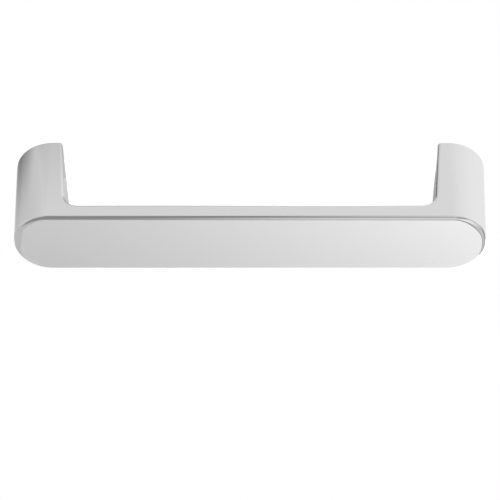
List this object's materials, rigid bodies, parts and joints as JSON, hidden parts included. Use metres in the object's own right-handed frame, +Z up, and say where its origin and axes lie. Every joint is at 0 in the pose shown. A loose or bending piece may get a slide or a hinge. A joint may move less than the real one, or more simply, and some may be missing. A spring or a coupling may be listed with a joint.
{
  "type": "cabinet pull",
  "caption": "Cabinet pull cast in one piece: a flat pill-shaped grip bar whose round ends run straight back as legs to flat feet, tapped for screws from inside the drawer front.",
  "frame": {"origin": "midway between the two screw holes, on the plane of the feet", "axes": "+X along the bar, +Y into the cabinet front (out of the screw holes' mouths), +Z up as the pull is mounted on a drawer; the front face looks along -Y"},
  "size_m": [0.1426, 0.03, 0.0256],
  "materials": {
    "chrome": "polished plating on a zinc casting"
  },
  "bodies": {
    "root": {"pull_handle": "chrome"}
  },
  "joints": []
}
